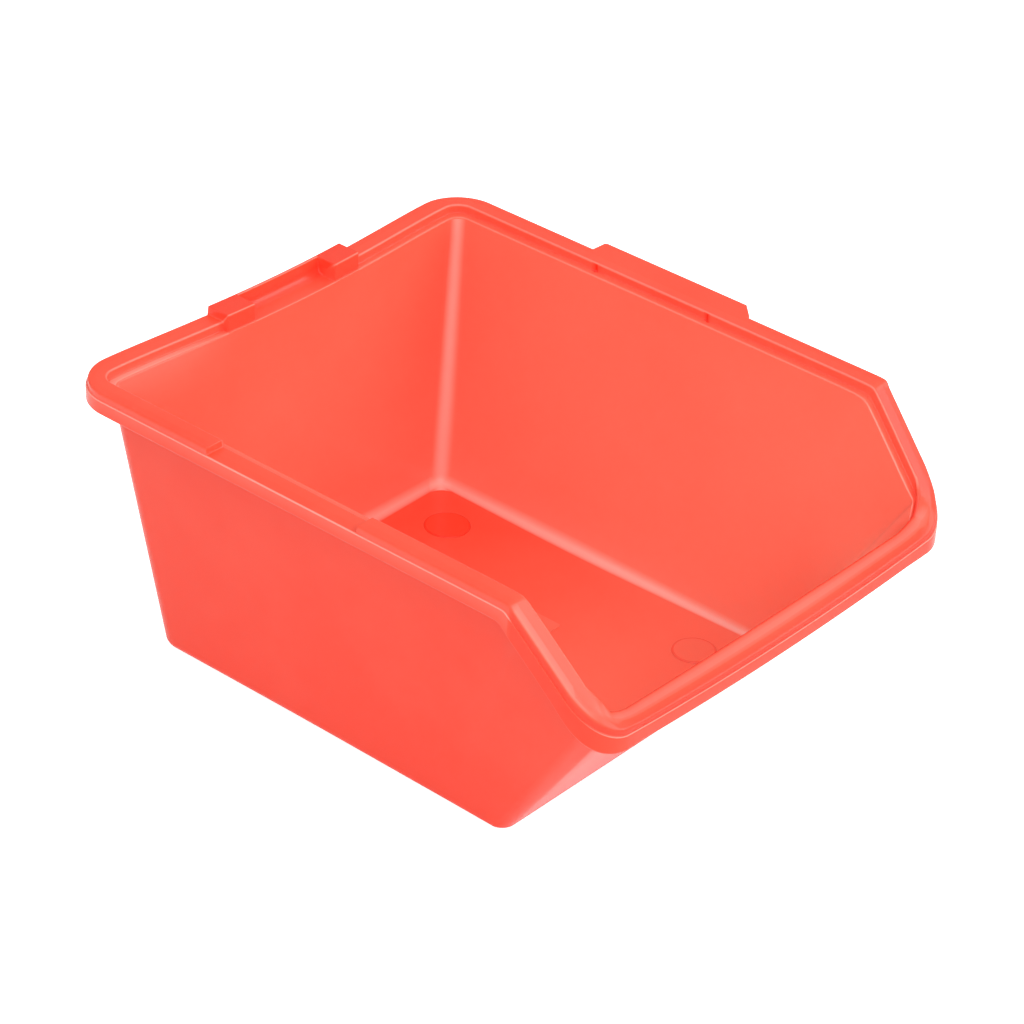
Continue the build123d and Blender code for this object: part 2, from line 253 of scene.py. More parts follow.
def end_run(end, places):
    """Straight stretch along the back (end 1) or the low front (end -1), its places being X."""
    if end > 0:
        part, y, axis_x, height = BACK, BACK_Y, BACK_AXIS_X, HEIGHT
        foot_y, foot_axis_x, tilt = BASE_BACK, BASE_HALF - FOOT_BACK_RADIUS, 0
    else:
        part, y, axis_x, height = FRONT, FRONT_Y, FRONT_AXIS_X, FRONT_HEIGHT
        foot_y, foot_axis_x = BASE_FRONT, BASE_HALF - FOOT_FRONT_RADIUS
        past_corner = (axis_x - np.abs(places)) / (FRONT_RADIUS * math.pi / 2) * 90
        tilt = corner_tilt(90 + past_corner)
    return run(len(places), x=places, y=y, out_x=0, out_y=end, land=height, lean=1, along=0, side_x=0,
               end_y=0, tilt=tilt, foot_x=places / axis_x * foot_axis_x, foot_y=foot_y, part=part)


def side_run(side, places):
    """Straight side stretch with the slope at its front end, its places being Y."""
    land = land_height(places)
    foot_back, foot_front = BASE_BACK - FOOT_BACK_RADIUS, BASE_FRONT + FOOT_FRONT_RADIUS
    share = (BACK_AXIS_Y - places) / (BACK_AXIS_Y - FRONT_AXIS_Y)
    return run(len(places), x=side * rim_half_width(land), y=places, out_x=side, out_y=0, land=land,
               lean=1, along=1, side_x=0, end_y=0, tilt=0, foot_x=side * BASE_HALF,
               foot_y=foot_back + (foot_front - foot_back) * share, part=LEFT if side < 0 else RIGHT)


def corner_run(side, end):
    """Quarter turn at a corner, from the side (turn 0) to the end (turn 90 degrees)."""
    turn = np.linspace(0, math.pi / 2, CORNER_STEPS + 2)[1:-1]
    out_x, out_y = side * np.cos(turn), end * np.sin(turn)
    if end > 0:
        part, height, lean, tilt = BACK_CORNER, np.full(CORNER_STEPS, HEIGHT), 1, 0
        centre_x, centre_y, radius = BACK_AXIS_X, BACK_AXIS_Y, BACK_RADIUS
        foot_radius, foot_end = FOOT_BACK_RADIUS, BASE_BACK
    else:
        part, height = FRONT_CORNER, land_height(FRONT_AXIS_Y - FRONT_RADIUS * np.sin(turn))
        lean, tilt = np.cos(np.arctan(SLOPE * np.cos(turn))), corner_tilt(np.degrees(turn))
        centre_x, centre_y, radius = rim_half_width(height) - FRONT_RADIUS, FRONT_AXIS_Y, FRONT_RADIUS
        foot_radius, foot_end = FOOT_FRONT_RADIUS, BASE_FRONT
    return run(CORNER_STEPS, x=side * centre_x + radius * out_x, y=centre_y + radius * out_y, out_x=out_x,
               out_y=out_y, land=height, lean=lean, along=0, side_x=centre_x + radius,
               end_y=abs(centre_y) + radius, tilt=tilt,
               foot_x=side * (BASE_HALF - foot_radius) + foot_radius * out_x,
               foot_y=foot_end - end * foot_radius + foot_radius * out_y, part=part)


def side_places(marks, extra=()):
    """Places in Y along a side: even ones, close ones at the marks and at the bend, and extra ones."""
    bend = SLOPE_START + np.array([-4, -1.2, -0.4, 0, 0.4, 0.9, 1.4, 1.9, 2.6])
    level = stations(BACK_AXIS_Y, FRONT_AXIS_Y, marks)
    places = np.unique(np.round(np.concatenate([level, bend, extra]), 4))
    return places[np.concatenate([[True], np.diff(places) > 0.02])]


def way_round():
    """All stations, anticlockwise seen from above, starting at the right end of the back."""
    clip_marks = [LEFT_LUG[0][0], LEFT_LUG[1][0], RIGHT_LUG[0][0], RIGHT_LUG[1][0]]
    tab_round = TAB_BACK - TAB_ROUNDING * (1 - np.sin(np.linspace(0, math.pi / 2, 6)))[:-1]
    tab_point = TAB_FRONT + TAB_REACH + np.array([-0.3, 0.0, 0.3])
    right_places = side_places([*RECESS, TAB_FRONT, TAB_BACK], np.concatenate([tab_round, tab_point]))
    runs = [
        end_run(1, stations(BACK_AXIS_X, -BACK_AXIS_X, clip_marks)),
        walked_back(corner_run(-1, 1)),
        side_run(-1, side_places(NOTCH)[::-1]),
        corner_run(-1, -1),
        end_run(-1, stations(-FRONT_AXIS_X, FRONT_AXIS_X)),
        walked_back(corner_run(1, -1)),
        side_run(1, right_places),
        corner_run(1, 1),
    ]
    return {name: np.concatenate([r[name] for r in runs]) for name in runs[0]}


def zones(way):
    """Share of the slope and of the low front in each station: 0 or 1, easing over the corners."""
    turned = smooth(np.abs(way["out_y"]) ** 2)
    on_front = np.where(way["part"] == FRONT, 1.0, np.where(way["part"] == FRONT_CORNER, turned, 0.0))
    lowered = smooth((HEIGHT - way["land"]) / 1.5)
    return lowered * (1 - on_front), on_front


def front_inward(corner):
    """A section corner's distance inwards from the skirt along the low front."""
    return RIM_CORNERS[corner][0] - FRONT_OUTWARDS.get(corner, 0.0)


def rim_plan(way):
    """The rim's corners at every station, features included.

    Returns how far inwards and how far up each corner lies, its rounding, and the shares of the
    stations that lie on a lug of the clip and in the cove between the lugs.
    """
    x, y = way["x"], way["y"]
    inward, rise, rounding = (np.zeros((CORNERS, len(x))) for _ in range(3))
    for corner, (a, b, radius, _, _) in RIM_CORNERS.items():
        inward[corner], rise[corner], rounding[corner] = a, b, radius

    on_slope, on_front = zones(way)
    swell = FRONT_SWELL * on_front + SLOPE_SWELL * on_slope
    rise[SHOULDER] -= swell
    rounding[SHOULDER] += swell
    for corner in FRONT_OUTWARDS:
        inward[corner] -= (inward[corner] - front_inward(corner)) * on_front

    notch = (way["part"] == LEFT) * plateau(y, *NOTCH)
    for corner in (LAND_EDGE, LAND_MID, SHOULDER):
        rise[corner] += notch * (-STEP_DOWN + NOTCH_CLEARANCE - rise[corner])
    for corner in (SKIRT_ROOF, WEB_ROOF):
        rise[corner] += notch * (-RIM_UNDER + NOTCH_ROOF - rise[corner])

    right = way["part"] == RIGHT
    inward[STEP_FOOT] -= right * plateau(y, *RECESS) * RECESS_DEPTH

    # The tab: a 45 degree point at its front end, and a quarter circle at its back end
    on_tab = right * plateau(y, TAB_FRONT, TAB_BACK)
    rounded_end = TAB_REACH - TAB_ROUNDING + np.sqrt(
        np.clip(TAB_ROUNDING ** 2 - np.clip(y - TAB_BACK + TAB_ROUNDING, 0, TAB_ROUNDING) ** 2, 0, None))
    reach = np.minimum(np.clip(y - TAB_FRONT, 0, TAB_REACH), rounded_end)
    for corner in (SHOULDER, TIER_FOOT):
        inward[corner] -= on_tab * (STEP_OUT + reach)
        rounding[corner] += on_tab * (TAB_EDGE - rounding[corner])
    rise[SHOULDER] -= on_tab * rise[SHOULDER]

    back = way["part"] == BACK
    lug = back * (plateau(x, LEFT_LUG[0][0], LEFT_LUG[1][0]) + plateau(x, RIGHT_LUG[0][0], RIGHT_LUG[1][0]))
    cove = back * plateau(x, LEFT_LUG[1][0], RIGHT_LUG[0][0])
    for corner, lug_spot, cove_spot in (
            (STEP_FOOT, (LUG_END, -LEDGE_DOWN), (LEDGE_END - COVE_LEDGE, -LEDGE_DOWN)),
            (LAND_EDGE, (LUG_END, CLIP_RISE), (STEP_OUT + COVE_FOOT, -LEDGE_DOWN)),
            (LAND_MID, (RIM_CORNERS[LAND_MID][0], CLIP_RISE), (STEP_OUT + LIP_TOP, CLIP_RISE)),
            (SHOULDER, (STEP_OUT, CLIP_RISE), (STEP_OUT, CLIP_RISE))):
        inward[corner] += lug * (lug_spot[0] - inward[corner]) + cove * (cove_spot[0] - inward[corner])
        rise[corner] += lug * (lug_spot[1] - rise[corner]) + cove * (cove_spot[1] - rise[corner])
    for corner in (SKIRT_ROOF, WEB_ROOF):
        rise[corner] += cove * (-RIM_UNDER + COVE_ROOF - rise[corner])
        rounding[corner] += cove * (0.05 - rounding[corner])
    rounding[SHOULDER] += np.clip(lug + cove, 0, 1) * (0.5 - rounding[SHOULDER])
    rounding[LAND_MID] += cove * (0.3 - rounding[LAND_MID])
    rounding[LAND_EDGE] += cove * (COVE_RADIUS - rounding[LAND_EDGE]) + lug * (0.5 - rounding[LAND_EDGE])

    front_corner = smooth(1 - np.hypot(np.abs(x) - FRONT_AXIS_X - 7, y - FRONT_AXIS_Y + 7) / 16)
    for corner in (SKIRT_FOOT, SKIRT_BACK):
        rise[corner] -= CORNER_DEPTH * front_corner
    return inward, rise, rounding, lug, cove


def section_corners(way):
    """Corners of the section at every station, in space, with their roundings, the lugs and the cove."""
    inward, rise, rounding, lug, cove = rim_plan(way)
    corners = np.zeros((CORNERS, len(way["x"]), 3))
    for k in RIM_CORNERS:
        corners[k, :, 0] = way["x"] - inward[k] * way["out_x"]
        corners[k, :, 1] = way["y"] - inward[k] * way["out_y"]
        for part, turns in ((BACK_CORNER, BACK_TURNS), (FRONT_CORNER, FRONT_TURNS)):
            if k in turns:
                at = way["part"] == part
                out_x, out_y = way["out_x"][at], way["out_y"][at]
                end_inward = RIM_CORNERS[k][0] if part == BACK_CORNER else front_inward(k)
                side_x = way["side_x"][at] - RIM_CORNERS[k][0] - turns[k] * (1 - np.abs(out_x))
                end_y = way["end_y"][at] - end_inward - turns[k] * (1 - np.abs(out_y))
                corners[k, at, 0], corners[k, at, 1] = np.sign(out_x) * side_x, np.sign(out_y) * end_y
        softness = BEND_SOFTNESS.get(k, LEAST_SOFTNESS)
        on_side = soft_least(HEIGHT + rise[k], slope_height(way["y"]) + rise[k] / SLOPE_LEAN, softness)
        tilted = way["land"] + way["tilt"] * SLOPE * (corners[k, :, 1] - way["y"])
        corners[k, :, 2] = np.where(way["along"] > 0, on_side, tilted + rise[k] / way["lean"])
    foot = np.stack([way["foot_x"], way["foot_y"], np.zeros_like(way["x"])], axis=-1)
    outward = np.stack([way["out_x"], way["out_y"], np.zeros_like(way["x"])], axis=-1)
    middle = np.array([0.0, (BASE_BACK + BASE_FRONT) / 2, 0.0])
    head = corners[WALL_HEAD]
    corners[FLOOR_EDGE] = foot + (head - foot) * (FLOOR / head[:, 2:]) - outward * WALL
    corners[FLOOR_EDGE, :, 2] = FLOOR
    corners[FLOOR_MID] = middle + np.array([0, 0, FLOOR])
    corners[FOOT], corners[UNDER_MID] = foot, middle
    rounding[FLOOR_EDGE], rounding[FOOT] = FLOOR_FILLET, FOOT_FILLET
    return corners, rounding, lug, cove


def warp(points):
    """Moulding warp. With x the share of the half width, the back rim bows inwards by (1 - x^2)^1.5,
    growing as z^1.5 with the height, and the front lip hangs by (1 - x^2), growing as z^2.
    """
    x, y, z = points[..., 0], points[..., 1], points[..., 2]
    bow = (1 - np.clip(np.abs(x) / BACK_AXIS_X, 0, 1) ** 2) ** 1.5
    at_back = smooth((y - 30) / 40) * np.clip(z / HEIGHT, 0, 1) ** 1.5
    sag = 1 - np.clip(np.abs(x) / FRONT_AXIS_X, 0, 1) ** 2
    at_front = smooth((-y - 73.5) / 9.5) * np.clip(z / FRONT_HEIGHT, 0, 1) ** 2
    moved = points.copy()
    moved[..., 1] -= BACK_BOW * bow * at_back
    moved[..., 2] -= LIP_SAG * sag * at_front
    return moved


# ---------------------------------------------------------------- meshes
def mesh_piece(name, points, faces, material, attributes):
    """A smooth-shaded mesh piece from points in millimetres and faces, riding on the bin's only body."""
    mesh = bpy.data.meshes.new(name)
    mesh.from_pydata((points / MM).tolist(), [], faces)
    mesh.polygons.foreach_set("use_smooth", np.ones(len(mesh.polygons), bool))
    for label, values in attributes.items():
        mesh.attributes.new(label, "FLOAT", "POINT").data.foreach_set("value", values.astype(np.float32))
    mesh.materials.append(material)
    mesh.update()
    piece = bpy.data.objects.new(name, mesh)
    bpy.context.scene.collection.objects.link(piece)
    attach(piece, "root")
    return piece


def ring_faces(rows, columns):
    """Quads of a grid whose columns close on themselves, rows running from the middle outwards."""
    r, c = np.meshgrid(np.arange(rows - 1) * columns, np.arange(columns), indexing="ij")
    following = (c + 1) % columns
    quads = np.stack([r + c, r + columns + c, r + columns + following, r + following], -1)
    return quads.reshape(-1, 4).tolist()


def fan_faces(pole, ring_start, columns, faces_up):
    """Triangles from a pole to a closed ring."""
    c = np.arange(columns)
    following = (c + 1) % columns
    first, second = (c, following) if faces_up else (following, c)
    return np.stack([np.full(columns, pole), ring_start + first, ring_start + second], -1).tolist()


def closed_faces(rows, columns):
    """Faces of a closed surface: the grid, and its poles, which are the last two points."""
    top = rows * columns
    return (ring_faces(rows, columns) + fan_faces(top, 0, columns, True)
            + fan_faces(top + 1, top - columns, columns, False))


def bin_moulding(material):
    """The whole bin as one closed surface: the rounded section carried round the way.

    Rows run from the middle of the floor out to its fillet, up the inner wall, over the ledge, the
    land and the skirt, back under the rim, down the outer wall and in to the middle of the underside.
    """
    way = way_round()
    corners, rounding, lug, cove = section_corners(way)
    arc_steps = [FLOOR_ARC_STEPS] + [values[3] for values in RIM_CORNERS.values()] + [FOOT_ARC_STEPS]
    straight_rows = [FLOOR_ROWS, INNER_WALL_ROWS] + [values[4] for values in RIM_CORNERS.values()]
    rows, roles = rounded_section(corners, rounding, arc_steps, straight_rows + [UNDER_ROWS])
    rows, roles = warp(rows[1:-1]), roles[1:-1]
    points = np.concatenate([rows.reshape(-1, 3), corners[FLOOR_MID][:1], corners[UNDER_MID][:1]])
    pale, through = painted_light_and_shade(way, roles, rows, lug, cove), light_through(way, roles, rows)
    piece = mesh_piece("bin_moulding", points, closed_faces(*rows.shape[:2]), material,
                       {"pale": np.append(pale.ravel(), [0.0, 0.0]),
                        "through": np.append(through.ravel(), [0.36, 0.0])})
    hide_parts(*[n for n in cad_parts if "floor_pad" not in n and n != "floor_plate"])
    return piece


# ---------------------------------------------------------------- painted light and shade
# Painted highlights and reflections (above 0) or painted shade (below 0) along the section: (corner, share
# of its rounding, value)
# Painted highlight along the floor fillet
INNER_PAINT = [
    (FLOOR_EDGE, 0.0, 0.0), (FLOOR_EDGE, 0.2, 0.75), (FLOOR_EDGE, 0.5, 1.0), (FLOOR_EDGE, 0.8, 0.5),
    (FLOOR_EDGE, 1.0, 0.22), (FLOOR_EDGE, 1.3, 0.0), (LEDGE_EDGE, 0.0, 0.0)]
# Painted highlights on the skirt's lower edge and on the foot, painted shade under the rim at the wall's
# head
OUTER_PAINT = [
    (SKIRT_FOOT, 0.0, 0.0), (SKIRT_FOOT, 0.5, 0.25), (SKIRT_FOOT, 1.0, 0.0), (WALL_HEAD, 0.0, -0.3),
    (WALL_HEAD, 1.0, 0.0), (FOOT, 0.0, 0.0), (FOOT, 0.5, 0.2), (FOOT, 1.0, 0.0)]
# Painted shade in the step between the ledge and the land, with a faint painted highlight at the ledge's
# edge
STEP_PAINT = [
    (LEDGE_EDGE, 1.0, 0.05), (STEP_FOOT, 0.0, -0.15), (STEP_FOOT, 0.5, -0.45), (STEP_FOOT, 1.0, -0.15)]
# Level rim: painted highlights along the ledge's edge, the land's inner edge and the skirt's top
LEVEL_PAINT = [(LEDGE_EDGE, 0.5, 0.13)] + STEP_PAINT + [
    (LAND_EDGE, 0.0, 0.0), (LAND_EDGE, 0.5, 0.32), (LAND_EDGE, 1.0, 0.0), (SHOULDER, 0.5, 0.0),
    (TIER_FOOT, 0.5, 0.1), (SKIRT_TOP, 0.0, 0.6), (SKIRT_TOP, 0.6, 0.7), (SKIRT_TOP, 1.0, 0.15)]
# Slope: painted highlights on the land's inner edge and the shoulder's top, painted shade below the
# shoulder and on the skirt
SLOPE_PAINT = [(LEDGE_EDGE, 0.5, 0.35)] + STEP_PAINT + [
    (LAND_EDGE, 0.0, 0.0), (LAND_EDGE, 0.5, 0.35), (LAND_EDGE, 1.0, -0.05), (LAND_MID, 0.5, -0.05),
    (SHOULDER, 0.0, 0.3), (SHOULDER, 0.3, 0.25), (SHOULDER, 0.7, -0.35), (TIER_FOOT, 0.5, -0.5),
    (SKIRT_TOP, 0.5, 0.1), (SKIRT_TOP, 1.0, -0.4), (SKIRT_FOOT, -0.1, -0.35)]
# Low front: painted shade along the land's inner edge and on the shoulder, a painted highlight band on the
# land and a painted highlight line at the skirt's top
FRONT_PAINT = [(LEDGE_EDGE, 0.5, 0.35)] + STEP_PAINT + [
    (LAND_EDGE, 0.0, -0.9), (LAND_EDGE, 0.7, -0.8), (LAND_EDGE, 1.1, 0.0), (LAND_EDGE, 1.5, 0.25),
    (LAND_MID, 0.0, 0.15), (LAND_MID, 0.6, 0.08), (SHOULDER, 0.0, -0.25), (SHOULDER, 0.5, -0.5),
    (TIER_FOOT, 0.5, -0.5), (SKIRT_TOP, 0.4, 0.6), (SKIRT_TOP, 1.0, -0.2), (SKIRT_FOOT, -0.1, -0.1)]
# Cove: painted shade inside it, painted highlights at the ledge's edge and on the lip's top
COVE_PAINT = [
    (LEDGE_EDGE, 0.5, 0.2), (LEDGE_EDGE, 1.0, 0.0), (LAND_EDGE, 0.0, -0.3), (LAND_EDGE, 0.5, -0.6),
    (LAND_EDGE, 1.0, -0.4), (LAND_MID, 0.5, 0.25), (SHOULDER, 0.5, 0.05), (SKIRT_TOP, 1.0, 0.0)]
# Lugs: painted highlights on their rounded edges, painted shade beside them and in the step below
LUG_PAINT = [
    (LEDGE_EDGE, 0.5, 0.1), (STEP_FOOT, 0.5, -0.4), (LAND_EDGE, 0.0, -0.3), (LAND_EDGE, 0.5, 0.35),
    (LAND_EDGE, 1.0, -0.45), (SHOULDER, 0.0, -0.45), (SHOULDER, 0.5, 0.3), (SKIRT_TOP, 1.0, 0.0)]
# A painted reflection: a pale streak below and along the ledge at the back left, with a little painted
# shade at the ledge's edge
REFLECTION_STREAK_PAINT = [
    (FLOOR_EDGE, 1.0, 0.0), (LEDGE_EDGE, -0.8, 0.0), (LEDGE_EDGE, -0.5, 0.08), (LEDGE_EDGE, 0.0, 0.3),
    (LEDGE_EDGE, 0.5, -0.2), (LEDGE_EDGE, 1.0, 0.5), (STEP_FOOT, 0.0, 0.5), (STEP_FOOT, 0.5, 0.1),
    (STEP_FOOT, 1.0, 0.2), (LAND_EDGE, 0.0, 0.0)]
STREAK_START, STREAK_GROWTH = -14.0, 34.0    # it starts at this X and is full that much further left
# Painted light coming through the wall, as shares of the way from the deep to the lit colour
SIDE_LIGHT = [
    (FLOOR_EDGE, 0.5, 1.0), (LEDGE_EDGE, 0.0, 0.45), (LAND_EDGE, 0.0, 0.27), (LAND_EDGE, 1.0, 0.15),
    (SHOULDER, 0.5, 0.11), (SKIRT_FOOT, 0.5, 0.05), (FOOT, 0.5, 0.0)]
BACK_LIGHT = [
    (FLOOR_EDGE, 0.5, 0.8), (LEDGE_EDGE, 0.0, 0.33), (LAND_EDGE, 0.0, 0.25), (LAND_EDGE, 1.0, 0.13),
    (SHOULDER, 0.5, 0.1), (SKIRT_FOOT, 0.5, 0.05), (FOOT, 0.5, 0.0)]
# Painted highlight: the back wall's floor fillet gets less of it than the sides'
BACK_FILLET_HIGHLIGHT = 0.76                   # the back wall's fillet is that much as pale as the sides'
# Painted shade on the land of the right slope
RIGHT_SLOPE_SHADE = 0.5
# Painted shade: dark ticks at the small steps where the recess ends
TICK_WIDTH, TICK_DEPTH = 0.5, 0.9    # dark ticks across the step at the recess's ends


def first_row(roles, corner):
    """Number of the first row of a corner's rounding."""
    return next(i for i, (k, _) in enumerate(roles) if k == corner)


def along_section(roles, knots):
    """Values for every row, linear between knots given as (corner, share of its rounding, value)."""
    steps = {FLOOR_EDGE: FLOOR_ARC_STEPS, FOOT: FOOT_ARC_STEPS}
    steps |= {k: values[3] for k, values in RIM_CORNERS.items()}
    places = [first_row(roles, corner) + share * (steps[corner] - 1) for corner, share, _ in knots]
    return np.interp(np.arange(len(roles)), places, [value for _, _, value in knots])[:, None]


def painted_light_and_shade(way, roles, rows, lug, cove):
    """Painted highlights and reflections (above 0) and painted shade (below 0) at every point: one table
    per zone along the section, mixed by the zones' shares.

    The upright corners add a painted highlight of sin(2 turn)^2 between the floor and the ledge, growing
    downwards.
    """
    x, y, z = rows[..., 0], rows[..., 1], rows[..., 2]
    on_slope, on_front = zones(way)
    level = (1 - on_slope - on_front) * (1 - lug - cove)
    pale = sum(along_section(roles, INNER_PAINT + table + OUTER_PAINT) * share for table, share in (
        (LEVEL_PAINT, level), (SLOPE_PAINT, on_slope), (FRONT_PAINT, on_front), (COVE_PAINT, cove),
        (LUG_PAINT, lug)))
    place = np.arange(len(roles))[:, None]
    inside = place < first_row(roles, LEDGE_EDGE)
    # Less painted highlight in the back wall's fillet
    pale *= np.where((way["part"] == BACK) & inside, BACK_FILLET_HIGHLIGHT, 1.0)
    # Painted reflection streak at the back left
    streak = (y > BACK_AXIS_Y - 4) * smooth((STREAK_START - x) / STREAK_GROWTH)
    pale += along_section(roles, REFLECTION_STREAK_PAINT) * streak
    on_land = (place > first_row(roles, LAND_EDGE) + 4) & (place < first_row(roles, TIER_FOOT))
    # Painted shade on the right slope's land
    pale -= RIGHT_SLOPE_SHADE * on_land * on_slope * (way["x"] > 0)
    # Painted highlight in the upright inner corner fillets, strongest at the back corners
    sine = np.abs(way["out_x"] * way["out_y"]) * 2
    upright = inside & (place >= first_row(roles, FLOOR_EDGE))
    strength = np.where(way["part"] == BACK_CORNER, 1.0 - 0.4 * z / HEIGHT, 0.1)
    pale = np.where(upright, np.maximum(pale, sine ** 2 * strength), pale)
    # Painted shade ticks across the step at the recess's ends
    ticks = sum(np.exp(-((y - end) / TICK_WIDTH) ** 2) for end in RECESS) * (way["part"] == RIGHT)
    on_step = (place >= first_row(roles, STEP_FOOT)) & (place < first_row(roles, LAND_EDGE) + 2)
    return pale - TICK_DEPTH * ticks * on_step


def light_through(way, roles, rows):
    """How much painted light comes through each point: the sides' or the back's table, plus a painted glow
    on the inside at the front right, where the corner is shaded. The floor's share grows to the front.
    """
    x, y, z = rows[..., 0], rows[..., 1], rows[..., 2]
    place = np.arange(len(roles))[:, None]
    turned = np.where(way["part"] == BACK_CORNER, way["out_y"] ** 2, 0.0)
    backness = np.where(way["part"] == BACK, 1.0, turned)
    wall = along_section(roles, SIDE_LIGHT) * (1 - backness) + along_section(roles, BACK_LIGHT) * backness
    glow = 0.36 * smooth((-46 - y) / 24) * smooth((54 - z) / 26) * smooth(x / 52)
    wall = wall + glow * (place < first_row(roles, LEDGE_EDGE))
    floor = 0.2 + 0.29 * smooth((65 - y) / 105)
    on_wall = smooth((place - first_row(roles, FLOOR_EDGE)) / 8)
    return floor * (1 - on_wall) + wall * on_wall


# ---------------------------------------------------------------- marks on the floor
# The through values are painted light: little at the back pads, more at the front pads and the plate
FLOOR_MARKS = {"back_left_floor_pad": 0.09, "back_right_floor_pad": 0.09, "front_left_floor_pad": 0.5,
               "front_right_floor_pad": 0.5, "floor_plate": 0.52}     # node: share of light through
FRONT_PAD_SCALE = 0.92
PAD_RISE, PLATE_RISE = 0.7, 0.35     # shares of the CAD nodes' heights
PAD_EDGE, PLATE_CORNER = 0.5, 1.0
PAD_SEGMENTS, PAD_ROOT = 96, -0.3    # the marks start inside the floor panel
# Painted shade ring round the rounded edge of each pad
RING_SHADE = -0.38


def raised_pad(name, centre, half_size, corner, rise, edge, ring_paint, through, material):
    """Low flat-topped pad: the outline is corner centres plus corner radius times the outward normal.

    A round pad has its corner radius as its half size. Its wall rises from inside the floor panel,
    turns over a quarter ellipse and closes at a pole in the middle of the top and of the underside.
    """
    angle = (np.arange(PAD_SEGMENTS) + 0.5) * 2 * math.pi / PAD_SEGMENTS
    normal = np.stack([np.cos(angle), np.sin(angle)], -1)
    centres = np.sign(normal) * (np.array(half_size) - corner)
    turn = np.linspace(0, math.pi / 2, 6)
    inset = np.concatenate([[0], edge * (1 - np.cos(turn)), [edge + 0.15, corner * 0.9]])[::-1]
    height = np.concatenate([[PAD_ROOT], rise * np.sin(turn), [rise, rise]])[::-1]
    rings = [np.column_stack([centres + normal * (corner - i), np.full(PAD_SEGMENTS, h)])
             for i, h in zip(inset, height)]
    points = np.concatenate(rings + [[[0, 0, rise]], [[0, 0, PAD_ROOT]]]) + np.array([*centre, FLOOR])
    # Painted shade on the pad's edge rings; none on the plate
    ring_pale = np.where(np.arange(len(rings)) < 2, 0.0, ring_paint)
    pale = np.append(np.repeat(ring_pale, PAD_SEGMENTS), [0.0, 0.0])
    return mesh_piece(name, points, closed_faces(len(rings), PAD_SEGMENTS), material,
                      {"pale": pale, "through": np.full(len(points), through)})


def floor_marks(material):
    """The round pads and the plain plate on the floor, each in place of its CAD node."""
    for node, through in FLOOR_MARKS.items():
        low, high = node_box(node)
        centre, half = ((low + high) / 2)[:2], ((high - low) / 2)[:2]
        rise = high[2] - FLOOR
        if node == "floor_plate":
            shape = half, PLATE_CORNER, rise * PLATE_RISE, rise * PLATE_RISE * 0.7, 0.0
        else:
            half = half * (FRONT_PAD_SCALE if "front" in node else 1.0)
            shape = half, half[0], rise * PAD_RISE, PAD_EDGE, RING_SHADE
        mark = raised_pad(node.replace("floor_", "") + "_mark", centre, *shape, through, material)
        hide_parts(node)


# ---------------------------------------------------------------- materials
# After the base coral: the colour of painted light coming through the wall, that of painted shade, and that
# of painted highlights and reflections
CORAL, CORAL_THROUGH = (0.97, 0.054, 0.018, 1), (1.0, 0.32, 0.225, 1)
CORAL_SHADE, CORAL_HIGHLIGHT = (0.93, 0.03, 0.012, 1), (1.0, 0.48, 0.41, 1)
FINE_SCALE, DRIFT_SCALE, SCUFF_SCALE = 700, 28, 90
DRIFT = 0.03                         # share of light that the slow drift adds or takes
FLOOR_GLOW, MIRRORED_GLOW = 0.8, 0.33        # the floor's own light as seen directly and in the gloss


def grey(value):
    """An opaque grey as a colour."""
    return value, value, value, 1


def mix_colours(nodes, links, factor, first, second):
    """A colour mix by a socket, between sockets or plain colours. Returns the result socket."""
    mix = nodes.new("ShaderNodeMix")
    mix.data_type = "RGBA"
    links.new(factor, mix.inputs["Factor"])
    for value, socket in ((first, mix.inputs["A"]), (second, mix.inputs["B"])):
        if isinstance(value, bpy.types.NodeSocket):
            links.new(value, socket)
        else:
            socket.default_value = value
    return mix.outputs["Result"]


def remap(nodes, links, source, from_low, from_high, to_low, to_high):
    """Linear map of a value from one range to another, held at its ends."""
    step = nodes.new("ShaderNodeMapRange")
    step.inputs["From Min"].default_value, step.inputs["From Max"].default_value = from_low, from_high
    step.inputs["To Min"].default_value, step.inputs["To Max"].default_value = to_low, to_high
    links.new(source, step.inputs["Value"])
    return step.outputs["Result"]


def grain_group():
    """Node group: fine moulded texture, slow colour drift and scuffs, from noise on Object coordinates."""
    group = bpy.data.node_groups.new("moulded_grain", "ShaderNodeTree")
    for direction, labels in (("INPUT", ("Fine Scale", "Drift Scale")),
                              ("OUTPUT", ("Height", "Drift", "Scuff"))):
        for label in labels:
            group.interface.new_socket(label, in_out=direction, socket_type="NodeSocketFloat")
    nodes, links = group.nodes, group.links
    inputs, outputs = nodes.new("NodeGroupInput"), nodes.new("NodeGroupOutput")
    where = nodes.new("ShaderNodeTexCoord").outputs["Object"]

    def noise(vector, detail, roughness, output):
        """A noise texture on a vector, led to one of the group's outputs."""
        made = nodes.new("ShaderNodeTexNoise")
        made.inputs["Detail"].default_value, made.inputs["Roughness"].default_value = detail, roughness
        links.new(vector, made.inputs["Vector"])
        links.new(made.outputs["Fac"], outputs.inputs[output])
        return made.inputs["Scale"]

    links.new(inputs.outputs["Fine Scale"], noise(where, 4, 0.6, "Height"))
    links.new(inputs.outputs["Drift Scale"], noise(where, 3, 0.5, "Drift"))
    stretch = nodes.new("ShaderNodeMapping")
    stretch.inputs["Scale"].default_value = (1, 1, 3)
    links.new(where, stretch.inputs["Vector"])
    noise(stretch.outputs["Vector"], 6, 0.5, "Scuff").default_value = SCUFF_SCALE
    return group


